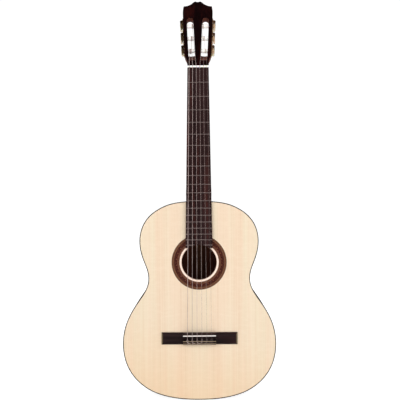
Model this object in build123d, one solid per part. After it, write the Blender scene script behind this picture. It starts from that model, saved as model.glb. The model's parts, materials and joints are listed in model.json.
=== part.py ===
from build123d import *
import os
from math import sin, cos, tan, pi, radians, degrees, sqrt, atan, atan2, hypot

# Classical guitar: six nylon strings, 650 mm scale, slotted head with geared
# machine heads.
#
# Frame: +X to the treble side, +Z up the strings, -Y out of the soundboard.
# While it is built the soundboard's outer face is y = 0, the tail is z = 0 and
# x = 0 is the centre line.  At the end everything slides along Y so that the
# origin sits under the middle of the bounding box.
#
# "half" in a name is half a width across X; "side" is +1 treble, -1 bass.
# Cutting and trimming shapes simply run past the piece they work on.

os.makedirs("parts", exist_ok=True)

# ---------------------------------------------------------- main dimensions
SCALE = 650.0               # nut to saddle, nominal
BODY_LEN = 487.0            # tail to neck joint (12th fret)
NUT_T = 4.3                 # nut thickness along the string
Z_NUT = BODY_LEN + SCALE / 2        # soundboard-side face of the nut
Z_HEAD = Z_NUT + NUT_T              # head-side face of the nut

# treble half of the body outline, (x, z), from the tail to the neck joint
OUTLINE = [
    (0, 0), (30.5, 1.0), (60.8, 4.3), (90.6, 11.0), (118.8, 22.2),
    (144.0, 39.25), (164.7, 61.6), (179.0, 88.4), (186.3, 118.0),
    (187.15, 148.4), (181.9, 178.4), (170.8, 206.7), (155.4, 232.7),
    (138.0, 257.9), (125.5, 285.6), (127.0, 315.7), (137.5, 344.4),
    (144.9, 374.0), (144.6, 404.3), (134.6, 433.0), (114.9, 456.3),
    (89.2, 472.4), (60.3, 482.0), (30.3, 486.0), (0, BODY_LEN)]
OUTLINE_STEPS = 66          # samples when the outline is moved inwards

DEPTH_TAIL = 98.0           # body depth at the tail
DEPTH_NECK = 93.0           # body depth at the neck joint
BACK_R = 5000.0             # doming radius of the back
TOP_T = 2.5                 # soundboard
BACK_T = 2.5                # back plate
RIB_T = 2.0                 # sides and bindings
GLUE = 0.05                 # glue line between curved faces

HOLE_R = 42.5               # soundhole
HOLE_Z = 336.7

FINGERBOARD_T = 6.0
FINGERBOARD_W_NUT = 52.0
FINGERBOARD_W_12 = 62.0     # width at the body joint

HEAD_TILT = radians(15.0)   # head leaning back
HEAD_T = 20.0               # head thickness with its veneer
VENEER_T = 2.0
Y_HEAD = -VENEER_T * cos(HEAD_TILT)     # veneer face at the nut

ROLLER_PITCH = 35.0
ROLLER_ALONG = [45.8 + i * ROLLER_PITCH for i in range(3)]  # along the head
ROLLER_DEPTH = 10.0         # roller axes below the head face
ROLLER_R = 5.0

# number, part name, diameter, side of its roller, roller index from the nut,
# distance from the centre line where it lands, turn of its button in degrees
STRINGS = [
    (1, "string_1_high_e", 0.71, 1, 0, 20.3, -5.0),
    (2, "string_2_b", 0.82, 1, 1, 17.0, 6.0),
    (3, "string_3_g", 1.02, 1, 2, 14.4, -3.0),
    (4, "string_4_d", 0.74, -1, 2, 14.4, 2.0),
    (5, "string_5_a", 0.90, -1, 1, 17.0, -4.0),
    (6, "string_6_low_e", 1.09, -1, 0, 20.3, 5.0)]

parts = {}


# ------------------------------------------------------------------- helpers
def block(x0, x1, y0, y1, z0, z1):
    return Pos((x0 + x1) / 2, (y0 + y1) / 2, (z0 + z1) / 2) * Box(
        x1 - x0, y1 - y0, z1 - z0)


def rod(start, end, radius):
    axis = Vector(*end) - Vector(*start)
    return Plane(origin=start, z_dir=axis).location * Cylinder(
        radius, axis.length, align=(Align.CENTER, Align.CENTER, Align.MIN))


def x_rod(side, x0, x1, radius, y=0):
    """Rod along X, with x measured towards the given side."""
    return rod((side * x0, y, 0), (side * x1, y, 0), radius)


def chain(points, radius):
    """Round wire through points, with ball corners."""
    wire = rod(points[0], points[1], radius)
    for start, end in zip(points[1:-1], points[2:]):
        wire = wire + Pos(*start) * Sphere(radius) + rod(start, end, radius)
    return wire


def fuse(shapes):
    total = shapes[0]
    for shape in shapes[1:]:
        total = total + shape
    return total


def put(name, *shapes):
    """Record the solids of a piece under its file name."""
    parts[name] = [solid for shape in shapes for solid in shape.solids()]


def slab(face, y0, y1):
    """Prism on a face drawn in (x, z), from depth y0 to depth y1."""
    placed = Plane.XZ.offset(-y0).location * face
    return extrude(placed, amount=y1 - y0, dir=(0, 1, 0))


def disc(radius, y0, y1):
    """Disc centred on the soundhole axis."""
    return Pos(0, (y0 + y1) / 2, HOLE_Z) * Rot(90, 0, 0) * Cylinder(
        radius, y1 - y0)


def ring(r_in, r_out, y0, y1):
    return disc(r_out, y0, y1) - disc(r_in, y0 - 1, y1 + 1)


def polygon(points):
    return Face(Wire.make_polygon([Vector(*p) for p in points], close=True))


def yz_prism(points, x0, x1):
    """Prism whose section is drawn as (y, z) points, from x0 to x1."""
    face = polygon([(x0, y, z) for y, z in points])
    return extrude(face, amount=x1 - x0, dir=(1, 0, 0))


def xy_prism(points, z0, z1):
    """Prism whose section is drawn as (x, y) points, from z0 to z1."""
    face = polygon([(x, y, z0) for x, y in points])
    return extrude(face, amount=z1 - z0, dir=(0, 0, 1))


base_edge = Spline(*OUTLINE, tangents=[(1, 0), (-1, 0)])
outline_faces = {}


def outline_points(inset):
    points = []
    for i in range(OUTLINE_STEPS + 1):
        place = base_edge.position_at(i / OUTLINE_STEPS)
        along = base_edge.tangent_at(i / OUTLINE_STEPS)
        points.append((place.X - along.Y * inset, place.Y + along.X * inset))
    points[0] = (0.0, inset)
    points[-1] = (0.0, BODY_LEN - inset)
    return points


def outline(inset):
    """Body outline moved inwards by inset, as a face in (x, z)."""
    key = round(inset, 4)
    if key not in outline_faces:
        points = outline_points(inset)
        right = Spline(*points, tangents=[(1, 0), (-1, 0)])
        left = Spline(*[(-x, z) for x, z in reversed(points)],
                      tangents=[(-1, 0), (1, 0)])
        outline_faces[key] = Face(Wire([right, left]))
    return outline_faces[key]


# the back is a sphere through its ends at the tail and at the neck
back_rise = DEPTH_NECK - DEPTH_TAIL
back_chord = hypot(back_rise, BODY_LEN)
dome_height = sqrt(BACK_R ** 2 - (back_chord / 2) ** 2)
DOME_Y = (DEPTH_TAIL + DEPTH_NECK) / 2 - dome_height * (BODY_LEN / back_chord)
DOME_Z = BODY_LEN / 2 + dome_height * (back_rise / back_chord)


def dome(inset):
    """Solid ball whose surface lies inset inside the outer face of the back."""
    return Pos(0, DOME_Y, DOME_Z) * Sphere(BACK_R - inset)


def fingerboard_half(z):
    half_nut = FINGERBOARD_W_NUT / 2
    growth = (FINGERBOARD_W_12 - FINGERBOARD_W_NUT) / 2
    return half_nut + growth * (Z_NUT - z) / (SCALE / 2)


# ---------------------------------------------------- soundboard and rosette
ROSETTE_D = 1.5             # depth of the rosette channel
ROSETTE_R = 67.4            # outer radius of the rosette
EDGE_RING_R = 48.0          # outer radius of the pale edge ring
MOSAIC_R_IN = 51.0
MOSAIC_R_OUT = 61.0
RING_GAP = 0.01             # clearance on each ring edge

top = slab(outline(RIB_T + GLUE), 0, TOP_T)
top -= disc(HOLE_R, -1, TOP_T + 1)
top -= disc(ROSETTE_R, -1, ROSETTE_D)
put("soundboard", top)

put("rosette_rings",
    ring(HOLE_R, EDGE_RING_R - RING_GAP, 0, ROSETTE_D),
    ring(EDGE_RING_R + RING_GAP, MOSAIC_R_IN - RING_GAP, 0, ROSETTE_D),
    ring(MOSAIC_R_OUT + RING_GAP, ROSETTE_R - RING_GAP, 0, ROSETTE_D))
put("rosette_mosaic",
    ring(MOSAIC_R_IN + RING_GAP, MOSAIC_R_OUT - RING_GAP, 0, ROSETTE_D))

# ------------------------------------------------------- soundboard bracing
LINING_W = 6.0
LINING_H = 15.0
PATCH_HALF, PATCH_T = 95.0, 1.5         # bridge patch
PATCH_Z0, PATCH_Z1 = 133.5, 165.5
FAN_TOP_Z = 264.0           # end of the fan braces nearest the soundhole
FAN_HALF = 3.0
FAN_H, FAN_TIP_H = 5.0, 1.2
FAN_TAPER = 24.0            # length of the thinned ends
# x at the soundhole end, then x and z at the tail end
FANS = [(0, 0, 34), (17, 44, 38), (34, 88, 50), (-17, -44, 38), (-34, -88, 50)]
BAR_FROM_HOLE = 60.0        # harmonic bars, above and below the soundhole
BRACE_HALF_T = 4.0          # half thickness of harmonic bars and back braces
BRACE_H = 16.0

put("bridge_patch", block(-PATCH_HALF, PATCH_HALF, TOP_T, TOP_T + PATCH_T,
                          PATCH_Z0, PATCH_Z1))
patch_room = block(-PATCH_HALF - 0.05, PATCH_HALF + 0.05, TOP_T - 1,
                   TOP_T + PATCH_T + 0.02, PATCH_Z0 - 0.05, PATCH_Z1 + 0.05)
inside_lining = slab(outline(RIB_T + LINING_W + 0.25), 0, 110)


def make_fan(x_top, x_low, z_low):
    run = hypot(x_top - x_low, FAN_TOP_Z - z_low)
    lean = degrees(atan2(x_top - x_low, FAN_TOP_Z - z_low))
    profile = yz_prism(
        [(TOP_T, -run / 2), (TOP_T, run / 2), (TOP_T + FAN_TIP_H, run / 2),
         (TOP_T + FAN_H, run / 2 - FAN_TAPER),
         (TOP_T + FAN_H, -run / 2 + FAN_TAPER),
         (TOP_T + FAN_TIP_H, -run / 2)], -FAN_HALF, FAN_HALF)
    fan = Pos((x_top + x_low) / 2, 0, (FAN_TOP_Z + z_low) / 2) * Rot(
        0, lean, 0) * profile
    return fan - patch_room


def taper_ends(brace, run, y_tip, y_full, z_mid):
    """Cut both ends of a cross brace on a slope that starts run from them."""
    half = brace.bounding_box().max.X
    for side in (1, -1):
        brace -= xy_prism([(side * (half + 1), y_tip),
                           (side * (half - run), y_full),
                           (side * (half + 1), y_full)], z_mid - 5, z_mid + 5)
    return brace


def make_harmonic_bar(z_mid):
    y_end = TOP_T + BRACE_H
    bar = xy_prism([(-150, TOP_T), (150, TOP_T), (150, y_end), (-150, y_end)],
                   z_mid - BRACE_HALF_T, z_mid + BRACE_HALF_T) & inside_lining
    return taper_ends(bar, 32, TOP_T + 6, y_end + 1, z_mid)


put("fan_braces", *[make_fan(*row) for row in FANS])
put("harmonic_bars", make_harmonic_bar(HOLE_Z - BAR_FROM_HOLE),
    make_harmonic_bar(HOLE_Z + BAR_FROM_HOLE))

# ------------------------------------------------ sides, bindings, back plate
BINDING_D = 6.0             # depth of the bindings down the side
GRAFT_HALF = 6.0            # strip let in at the tail
TENON_HALF = 10.0           # mortise for the neck
BACK_ZONE = (60, 115)       # y range that holds the whole back

ribs = slab(outline(0), BINDING_D, 115) - slab(outline(RIB_T), 0, 120)
ribs = ribs & dome(BINDING_D)


def side_room(side):
    """Space of one side, clear of the end graft and of the neck tenon."""
    tail_x = sorted((side * GRAFT_HALF, side * 200))
    neck_x = sorted((side * TENON_HALF, side * 200))
    return (block(*tail_x, 0, 110, -5, 240)
            + block(*neck_x, 0, 110, 239, 500))


put("treble_side", ribs & side_room(1))
put("bass_side", ribs & side_room(-1))
put("end_graft", ribs & block(-GRAFT_HALF + GLUE, GRAFT_HALF - GLUE,
                              0, 110, -5, 60))

put("front_binding", slab(outline(0), 0, BINDING_D)
    - slab(outline(RIB_T), -1, BINDING_D + 1))
rim = slab(outline(0), *BACK_ZONE) - slab(outline(RIB_T), 50, 120)
put("back_binding", (rim & dome(0)) - dome(BINDING_D))

back = slab(outline(RIB_T + GLUE), *BACK_ZONE)
put("back_plate", (back & dome(0)) - dome(BACK_T))

# ------------------------------------------- blocks, linings and back braces
NECK_BLOCK_HALF, NECK_BLOCK_Z = 32.0, 424.0
TAIL_BLOCK_HALF, TAIL_BLOCK_Z = 45.0, 18.0
TENON_Y0, TENON_Y1, TENON_Z = 6.1, 76.0, 462.0
BACK_BRACES = (105.0, 250.0, 385.0)     # z of each brace
STRIP_HALF, STRIP_T = 9.0, 2.2          # centre strip, T from inside the plate

inner = slab(outline(RIB_T + GLUE), TOP_T, 115) & dome(BACK_T + GLUE)
neck_block = inner & block(-NECK_BLOCK_HALF, NECK_BLOCK_HALF, 0, 110,
                           NECK_BLOCK_Z, 490)
neck_block -= block(-TENON_HALF, TENON_HALF, TENON_Y0 - 0.1, TENON_Y1,
                    TENON_Z, 490)
put("neck_block", neck_block)
put("tail_block", inner & block(-TAIL_BLOCK_HALF, TAIL_BLOCK_HALF, 0, 110,
                                -5, TAIL_BLOCK_Z))

blocks_room = (block(-NECK_BLOCK_HALF - 0.05, NECK_BLOCK_HALF + 0.05, -5, 115,
                     NECK_BLOCK_Z - 0.05, 495)
               + block(-TAIL_BLOCK_HALF - 0.05, TAIL_BLOCK_HALF + 0.05, -5,
                       115, -5, TAIL_BLOCK_Z + 0.05))
lining = slab(outline(RIB_T + GLUE), TOP_T, TOP_T + LINING_H)
lining -= slab(outline(RIB_T + LINING_W), 0, 60)
put("front_linings", lining - blocks_room)
lining = slab(outline(RIB_T + GLUE), *BACK_ZONE)
lining -= slab(outline(RIB_T + LINING_W), 50, 120)
lining = (lining & dome(BACK_T + GLUE)) - dome(BACK_T + LINING_H)
put("back_linings", lining - blocks_room)


def make_back_brace(z_mid):
    y_plate = DOME_Y + sqrt((BACK_R - BACK_T) ** 2 - (z_mid - DOME_Z) ** 2)
    y_in = y_plate - BRACE_H
    brace = block(-200, 200, y_in, 112, z_mid - BRACE_HALF_T,
                  z_mid + BRACE_HALF_T) & inside_lining
    brace = brace & dome(BACK_T + GLUE)
    return taper_ends(brace, 34, y_in + 9, y_in - 1, z_mid)


put("back_braces", *[make_back_brace(z) for z in BACK_BRACES])

strip = slab(outline(RIB_T + GLUE), *BACK_ZONE) & block(
    -STRIP_HALF, STRIP_HALF, 0, 115, TAIL_BLOCK_Z + 0.1, NECK_BLOCK_Z - 0.1)
strip = (strip & dome(BACK_T + GLUE)) - dome(BACK_T + STRIP_T)
for z in BACK_BRACES:
    strip -= block(-20, 20, 50, 115, z - BRACE_HALF_T - 0.1,
                   z + BRACE_HALF_T + 0.1)
put("back_centre_strip", strip)

# ------------------------------------------------------------ neck and heel
SECTION_STRAIGHT = 0.12     # share of the depth with straight sides
SECTION_EXTRA = 4.0         # section carried past its flat, trimmed later
SECTION_STEPS = 14          # even, so that one point is the middle
HEEL_Y, HEEL_Z = 55.0, 549.0            # centre of the hollow behind the heel
HOLLOW_SHAFT_R, HOLLOW_HEEL_R = 37.0, 38.0      # its radius at either end
CAP_Y = 91.0                # where the heel ends and its cap starts
CAP_T = 2.5


def section(origin, lean, half, depth, power):
    """Rounded neck section.  The flat side lies through origin; the depth
    direction leans by that many degrees from +Y towards +Z."""
    angle = radians(lean)
    plane = Plane(origin=origin, x_dir=(1, 0, 0),
                  z_dir=(0, -sin(angle), cos(angle)))
    straight = SECTION_STRAIGHT * depth
    points = []
    for i in range(SECTION_STEPS + 1):
        turn = pi * i / SECTION_STEPS
        x = half * (1 if cos(turn) > 0 else -1) * abs(cos(turn)) ** (2 / power)
        if i == SECTION_STEPS // 2:
            x = 0.0
        y = straight + (depth - straight) * abs(sin(turn)) ** (2 / power)
        if i in (0, SECTION_STEPS):
            y = straight
        points.append((x, y))
    wire = Wire([Spline(*points, tangents=[(0, 1), (0, -1)]),
                 Line((-half, straight), (-half, -SECTION_EXTRA)),
                 Line((-half, -SECTION_EXTRA), (half, -SECTION_EXTRA)),
                 Line((half, -SECTION_EXTRA), (half, straight))])
    return plane.location * Face(wire)


def head_point(across, along, below):
    """Point on the head: along from the nut, below its face."""
    return (across,
            Y_HEAD + along * sin(HEAD_TILT) + below * cos(HEAD_TILT),
            Z_HEAD + along * cos(HEAD_TILT) - below * sin(HEAD_TILT))


def shaft_section(z, depth, power):
    return section((0, 0, z), 0, fingerboard_half(z), depth, power)


def heel_section(lean, y, z, half, power):
    """Section that reaches from (y, z) to the hollow behind the heel."""
    reach = hypot(y - HEEL_Y, z - HEEL_Z)
    hollow = HOLLOW_SHAFT_R + (HOLLOW_HEEL_R - HOLLOW_SHAFT_R) * lean / 90
    return section((0, y, z), lean, half, reach - hollow, power)


heel_22_z = HEEL_Z - HEEL_Y * tan(radians(22.5))
heel_45_z = HEEL_Z - HEEL_Y
heel_67_y = HEEL_Y - (HEEL_Z - BODY_LEN) / tan(radians(67.5))
neck = loft([
    # from the head down to the shaft
    section(head_point(0, 14.5, VENEER_T), -15, 26.6, 18.0, 9.0),
    section(head_point(0, 5.0, VENEER_T), -15, 26.1, 17.8, 4.6),
    section((0, 0, 810.0), -8, 26.15, 16.6, 3.1),
    shaft_section(796, 15.6, 2.6),
    shaft_section(740, 15.9, 2.45),
    shaft_section(660, 16.6, 2.4),
    shaft_section(585, 17.4, 2.35),
    # the heel, turning through a quarter circle
    shaft_section(HEEL_Z, HEEL_Y - HOLLOW_SHAFT_R, 2.3),
    heel_section(22.5, 0.0, heel_22_z, fingerboard_half(heel_22_z), 2.2),
    heel_section(45.0, 0.0, heel_45_z, fingerboard_half(heel_45_z), 2.05),
    heel_section(67.5, heel_67_y, BODY_LEN, 25.5, 1.95),
    heel_section(90.0, HEEL_Y, BODY_LEN, 18.6, 1.9),
    section((0, 75.0, BODY_LEN), 90, 14.6, 21.5, 1.9),
    section((0, 97.0, BODY_LEN), 90, 12.2, 19.0, 1.95)])

# trim to the flat seat of the fingerboard and the tilted face of the head
seat_end = head_point(0, 0, VENEER_T)
face_end = head_point(0, 220, VENEER_T)
neck -= yz_prism([(0, 470), (0, seat_end[2]), (face_end[1], face_end[2]),
                  (-60, face_end[2]), (-60, 470)], -60, 60)
neck -= slab(outline(-GLUE), -2, 120)
put("heel_cap", neck & block(-40, 40, CAP_Y + GLUE, CAP_Y + CAP_T, 480, 560))
neck = neck & block(-60, 60, -30, CAP_Y, 400, 1010)
neck += block(-TENON_HALF + 0.05, TENON_HALF - 0.05, TENON_Y0, TENON_Y1 - 1,
              TENON_Z + 0.1, BODY_LEN + 4)

# ---------------------------------------------------------------------- head
# Head frame: X across, Y along from the nut, Z out of the veneer face.
HEAD = Plane(origin=(0, Y_HEAD, Z_HEAD), x_dir=(1, 0, 0),
             z_dir=(0, -cos(HEAD_TILT), sin(HEAD_TILT)))
SIDE_START = (32.4, 31.4)   # ends of the straight side, (across, along)
SIDE_END = (37.5, 142.8)
HEAD_CORNER = (35.4, 167.5)
SLOT_WALL = 9.05            # wood between head side and slot
SLOT_W = 16.4
SLOT_START, SLOT_END = 36.8, 135.8
SLOT_MID = (SLOT_START + SLOT_END) / 2
RAMP_START = 15.0           # where the string ramp leaves the head face
BAR_HOLE = 5.3              # blind bearing hole in the centre bar
ROLLER_REACH = SLOT_WALL + SLOT_W + BAR_HOLE    # head side to bottom of bore
SCREWS_ALONG = (-11.5, 20.0, 55.0, 87.0)    # plate screws, from roller 1

SIDE_SLOPE = (SIDE_END[0] - SIDE_START[0]) / (SIDE_END[1] - SIDE_START[1])
SIDE_ANGLE = degrees(atan(SIDE_SLOPE))


def side_x(along):
    return SIDE_START[0] + (along - SIDE_START[1]) * SIDE_SLOPE


def half_outline(side):
    """Edges of one half of the head, from the nut to the tip."""
    def mirrored(points):
        return [(side * x, y) for x, y in points]
    flare = Spline(*mirrored([(26, 0), (26.05, 7.0), (26.35, 12.5),
                              (27.0, 17.0), (28.2, 20.6), (29.7, 23.6),
                              (30.95, 26.3), (31.8, 28.9), SIDE_START]),
                   tangents=[(0, 1), (side * SIDE_SLOPE, 1)])
    straight = Line(*mirrored([SIDE_START, SIDE_END]))
    upper = Spline(*mirrored([SIDE_END, (37.35, 155.8), HEAD_CORNER]),
                   tangents=[(side * SIDE_SLOPE, 1), (-side * 0.26, 1)])
    crest = Spline(*mirrored([HEAD_CORNER, (29.2, 168.1), (22.9, 170.1),
                              (15.2, 174.8), (10.0, 179.6), (5.6, 181.5),
                              (0, 180.0)]),
                   tangents=[(-side, 0), (-side, 0)])
    return [flare, straight, upper, crest]


def tuner_frame(side, along):
    """X across the guitar to the treble side, Y along the head, Z out of its
    face; origin on the side of the head on the roller axis."""
    return Location((side * side_x(along), along, -ROLLER_DEPTH),
                    (0, 0, -side * SIDE_ANGLE))


def make_slot(side):
    """Cutter for one string slot and the ramp that leads into it."""
    across = side_x(SLOT_MID) - (SLOT_WALL + SLOT_W / 2) / cos(
        radians(SIDE_ANGLE))
    frame = Location((side * across, SLOT_MID, 0), (0, 0, -side * SIDE_ANGLE))
    straight = extrude(
        Rot(0, 0, 90) * SlotOverall(SLOT_END - SLOT_START, SLOT_W),
        amount=HEAD_T + 8, dir=(0, 0, -1))
    straight = Pos(0, 0, 4) * straight
    ramp = RAMP_START - SLOT_MID
    wedge = yz_prism([(ramp, 0), (ramp + 23.5, -20), (ramp + 29.4, -25),
                      (ramp + 45, -25), (ramp + 45, 4), (ramp, 4)],
                     -SLOT_W / 2, SLOT_W / 2)
    return frame * (straight + wedge)


head_face = Face(Wire(half_outline(1) + half_outline(-1)
                      + [Line((-26, 0), (26, 0))]))
plate = extrude(head_face, amount=HEAD_T, dir=(0, 0, -1))
slot_cut = fuse([make_slot(1), make_slot(-1)])

veneer = (plate & Pos(0, 90, -VENEER_T / 2) * Box(120, 240, VENEER_T)) \
    - slot_cut
veneer = HEAD.location * veneer
veneer -= block(-60, 60, -40, 60, 780, Z_HEAD + 0.02)
put("headstock_veneer", veneer)

# the wood starts 13.5 from the nut; nearer than that the loft fills in
head_wood = plate & Pos(0, 113.5, -(HEAD_T + VENEER_T) / 2) * Box(
    120, 200, HEAD_T - VENEER_T)
head_cuts = [slot_cut]
for side in (1, -1):
    for along in ROLLER_ALONG:
        bore = x_rod(side, 2, -ROLLER_REACH, ROLLER_R + 0.12)
        head_cuts.append(tuner_frame(side, along) * bore)
    for along in SCREWS_ALONG:
        pilot = x_rod(side, 1, -7.3, 0.93, y=along)
        head_cuts.append(tuner_frame(side, ROLLER_ALONG[0]) * pilot)
head_cut = fuse(head_cuts)
head_wood = HEAD.location * head_wood
neck = (neck + head_wood) - HEAD.location * head_cut
put("neck", neck)

# ---------------------------------------------------- fingerboard and frets
FINGERBOARD_END = 371.5     # z of the end of the fingerboard
SCOOP_R = 43.0              # scooped end, round the soundhole centre
FRETS = 19
FRET_W = 2.4
FRET_H = 1.0
TANG_HALF_T = 0.27
TANG_D = 2.0


def fret_z(number):
    return Z_NUT - SCALE * (1 - 2 ** (-number / 12))


def make_fret(z):
    half = fingerboard_half(z) - 0.35
    z0, z1 = z - FRET_W / 2, z + FRET_W / 2
    tang = block(-half, half, -FINGERBOARD_T - 0.1, -FINGERBOARD_T + TANG_D,
                 z - TANG_HALF_T, z + TANG_HALF_T)
    arc = ThreePointArc((-FINGERBOARD_T, z0), (-FINGERBOARD_T - FRET_H, z),
                        (-FINGERBOARD_T, z1))
    crown = Face(Wire([arc, Line((-FINGERBOARD_T, z1), (-FINGERBOARD_T, z0))]))
    # the crown is drawn as (y, z) and laid across the board
    plane = Plane(origin=(-half, 0, 0), x_dir=(0, 1, 0), z_dir=(1, 0, 0))
    crown = extrude(plane.location * crown, amount=2 * half, dir=(1, 0, 0))
    return crown + tang


def make_fret_slot(z):
    half = fingerboard_half(z) + 1
    return block(-half, half, -FINGERBOARD_T - 1,
                 -FINGERBOARD_T + TANG_D + 0.1,
                 z - TANG_HALF_T - 0.01, z + TANG_HALF_T + 0.01)


fret_places = [fret_z(number) for number in range(1, FRETS + 1)]
frets = [make_fret(z) for z in fret_places]
frets[-1] -= disc(SCOOP_R + 1.3, -FINGERBOARD_T - 3, 1)
put("frets", *frets)

end_half = fingerboard_half(FINGERBOARD_END)
board = slab(polygon([(-FINGERBOARD_W_NUT / 2, Z_NUT),
                      (-end_half, FINGERBOARD_END),
                      (end_half, FINGERBOARD_END),
                      (FINGERBOARD_W_NUT / 2, Z_NUT)]), -FINGERBOARD_T, 0)
board -= disc(SCOOP_R, -FINGERBOARD_T - 1, 1)
board -= fuse([make_fret_slot(z) for z in fret_places])
put("fingerboard", board)

# ----------------------------------------------------------- strings and nut
NUT_SPACING = 8.7
BRIDGE_SPACING = 11.8
NUT_SLOT_Y = -8.1           # underside of the strings at the nut
NUT_TOP_Y = -8.8
NUT_BEND_Z = Z_NUT + 0.6    # where the strings bend down to the head
SADDLE_Z = 159.0
SADDLE_T = 2.6
SADDLE_ROUND = 1.2          # rounding of the saddle's top edges
SADDLE_BASS = -13.8         # saddle top under the 6th string
SADDLE_TREBLE = -12.4       # and under the 1st
SADDLE_BENDS = (26.5, 8.5)  # degrees; two small bends over the saddle
TIE_HOLE_Y = -5.2
TIE_HOLE_R = 0.95


def string_x(number, spacing):
    return (3.5 - number) * spacing


def saddle_top(x):
    half = 2.5 * BRIDGE_SPACING
    return SADDLE_BASS + (SADDLE_TREBLE - SADDLE_BASS) * (x + half) / (2 * half)


def string_path(number, radius, side, roller, landing):
    """Points from the tie block over the saddle and the nut to the roller."""
    x = string_x(number, BRIDGE_SPACING)
    bend_r = (SADDLE_ROUND + radius + 0.04) / cos(radians(SADDLE_BENDS[1]))
    y_round = saddle_top(x) + SADDLE_ROUND
    z_round = SADDLE_Z - (SADDLE_T / 2 - SADDLE_ROUND)
    over = [(x, y_round - bend_r * cos(radians(bend)),
             z_round - bend_r * sin(radians(bend))) for bend in SADDLE_BENDS]
    at_nut = (string_x(number, NUT_SPACING), NUT_SLOT_Y - radius, NUT_BEND_Z)
    at_roller = head_point(side * landing, ROLLER_ALONG[roller] + 0.5,
                           ROLLER_DEPTH - ROLLER_R - radius - 0.06)
    return [(x, TIE_HOLE_Y, 137.6), (x, TIE_HOLE_Y, 146.6)] + over + [
        at_nut, at_roller]


def make_nut_slot(at_nut, at_roller, radius):
    """Cutter open upwards, following the string down to the head."""
    run = at_roller[2] - at_nut[2]
    fall = (at_roller[1] - at_nut[1]) / run
    y_floor = NUT_SLOT_Y + 0.04
    half = radius + 0.1 + 5.0 * abs((at_roller[0] - at_nut[0]) / run)
    return yz_prism([(y_floor, Z_NUT - 1), (y_floor, NUT_BEND_Z),
                     (y_floor + fall * 6 + 0.03, NUT_BEND_Z + 6),
                     (-12, NUT_BEND_Z + 6), (-12, Z_NUT - 1)],
                    at_nut[0] - half, at_nut[0] + half)


nut = block(-FINGERBOARD_W_NUT / 2, FINGERBOARD_W_NUT / 2, NUT_TOP_Y, 0,
            Z_NUT, Z_HEAD)
nut = fillet(nut.edges().filter_by(Axis.X).group_by(Axis.Y)[0], 1.0)
tie_holes = []
for number, name, diameter, side, roller, landing, _ in STRINGS:
    path = string_path(number, diameter / 2, side, roller, landing)
    put(name, chain(path, diameter / 2))
    nut -= make_nut_slot(path[-2], path[-1], diameter / 2)
    x = string_x(number, BRIDGE_SPACING)
    tie_holes.append(rod((x, TIE_HOLE_Y, 130), (x, TIE_HOLE_Y, 150),
                         TIE_HOLE_R))
put("nut", nut)

# --------------------------------------------------------- bridge and saddle
BRIDGE_Z0, BRIDGE_Z1 = 135.0, 165.4
WING_Z0 = 136.2             # tail edge of the bridge wings
BRIDGE_HALF = 92.9
CENTRE_HALF = 40.2          # tie block and saddle block
WING_Y = -3.6               # top of the wing next to its scoop
WING_SCOOP_W, WING_SCOOP_H = 7.0, 4.2   # curve up from wing to centre
SADDLE_SLOT_Y = -3.6        # bottom of the saddle slot
TRIM_SEAT_Y = -8.0
TRIM_SLOTS = [(138.3, 139.4), (144.3, 145.4)]   # z range of each trim strip

# (y, z) section through the tie block, the channel and the saddle block
CENTRE_PROFILE = [
    (0, BRIDGE_Z0), (-2.6, BRIDGE_Z0), (-9.0, 138.2), (-9.0, 145.6),
    (-3.0, 145.6), (-3.0, 152.9), (-8.5, 152.9), (-8.5, 164.4),
    (-7.7, BRIDGE_Z1), (0, BRIDGE_Z1)]
# (y, z) section that bevels the long edges of the wings
WING_PROFILE = [
    (0, WING_Z0), (-1.8, WING_Z0), (-4.0, 140.0), (-12, 142), (-12, 159.5),
    (-4.0, 161.5), (-1.8, BRIDGE_Z1), (0, BRIDGE_Z1)]


def make_wing(side):
    scoop_x = CENTRE_HALF + WING_SCOOP_W
    points = [(CENTRE_HALF - 0.5, 0), (BRIDGE_HALF, 0), (BRIDGE_HALF, -1.6),
              (BRIDGE_HALF - 3.2, -3.4), (scoop_x, WING_Y)]
    for i in range(1, 7):
        turn = radians(90 * i / 6)
        points.append((scoop_x - WING_SCOOP_W * sin(turn),
                       WING_Y - WING_SCOOP_H * (1 - cos(turn))))
    points.append((CENTRE_HALF - 0.5, WING_Y - WING_SCOOP_H))
    return xy_prism([(side * x, y) for x, y in points], WING_Z0, BRIDGE_Z1)


centre = yz_prism(CENTRE_PROFILE, -CENTRE_HALF, CENTRE_HALF)
wings = fuse([make_wing(1), make_wing(-1)])
bridge = centre + (wings & yz_prism(WING_PROFILE, -100, 100))
bridge -= block(-CENTRE_HALF - 1, CENTRE_HALF + 1, -20, SADDLE_SLOT_Y,
                SADDLE_Z - SADDLE_T / 2 - 0.04, SADDLE_Z + SADDLE_T / 2 + 0.04)
for z0, z1 in TRIM_SLOTS:
    bridge -= block(-CENTRE_HALF - 1, CENTRE_HALF + 1, -12, TRIM_SEAT_Y,
                    z0, z1)
bridge -= fuse(tie_holes)
put("bridge", bridge)
put("tie_block_trim",
    *[block(-CENTRE_HALF, CENTRE_HALF, -9.05, TRIM_SEAT_Y, z0 + 0.02,
            z1 - 0.02) for z0, z1 in TRIM_SLOTS])

saddle_half = CENTRE_HALF - 0.4
saddle = xy_prism([(-saddle_half, SADDLE_SLOT_Y), (saddle_half, SADDLE_SLOT_Y),
                   (saddle_half, saddle_top(saddle_half)),
                   (-saddle_half, saddle_top(-saddle_half))],
                  SADDLE_Z - SADDLE_T / 2, SADDLE_Z + SADDLE_T / 2)
top_edges = [edge for edge in saddle.edges()
             if edge.center().Y < -10 and abs(edge.center().X) < 1]
put("saddle", fillet(top_edges, SADDLE_ROUND))

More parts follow.
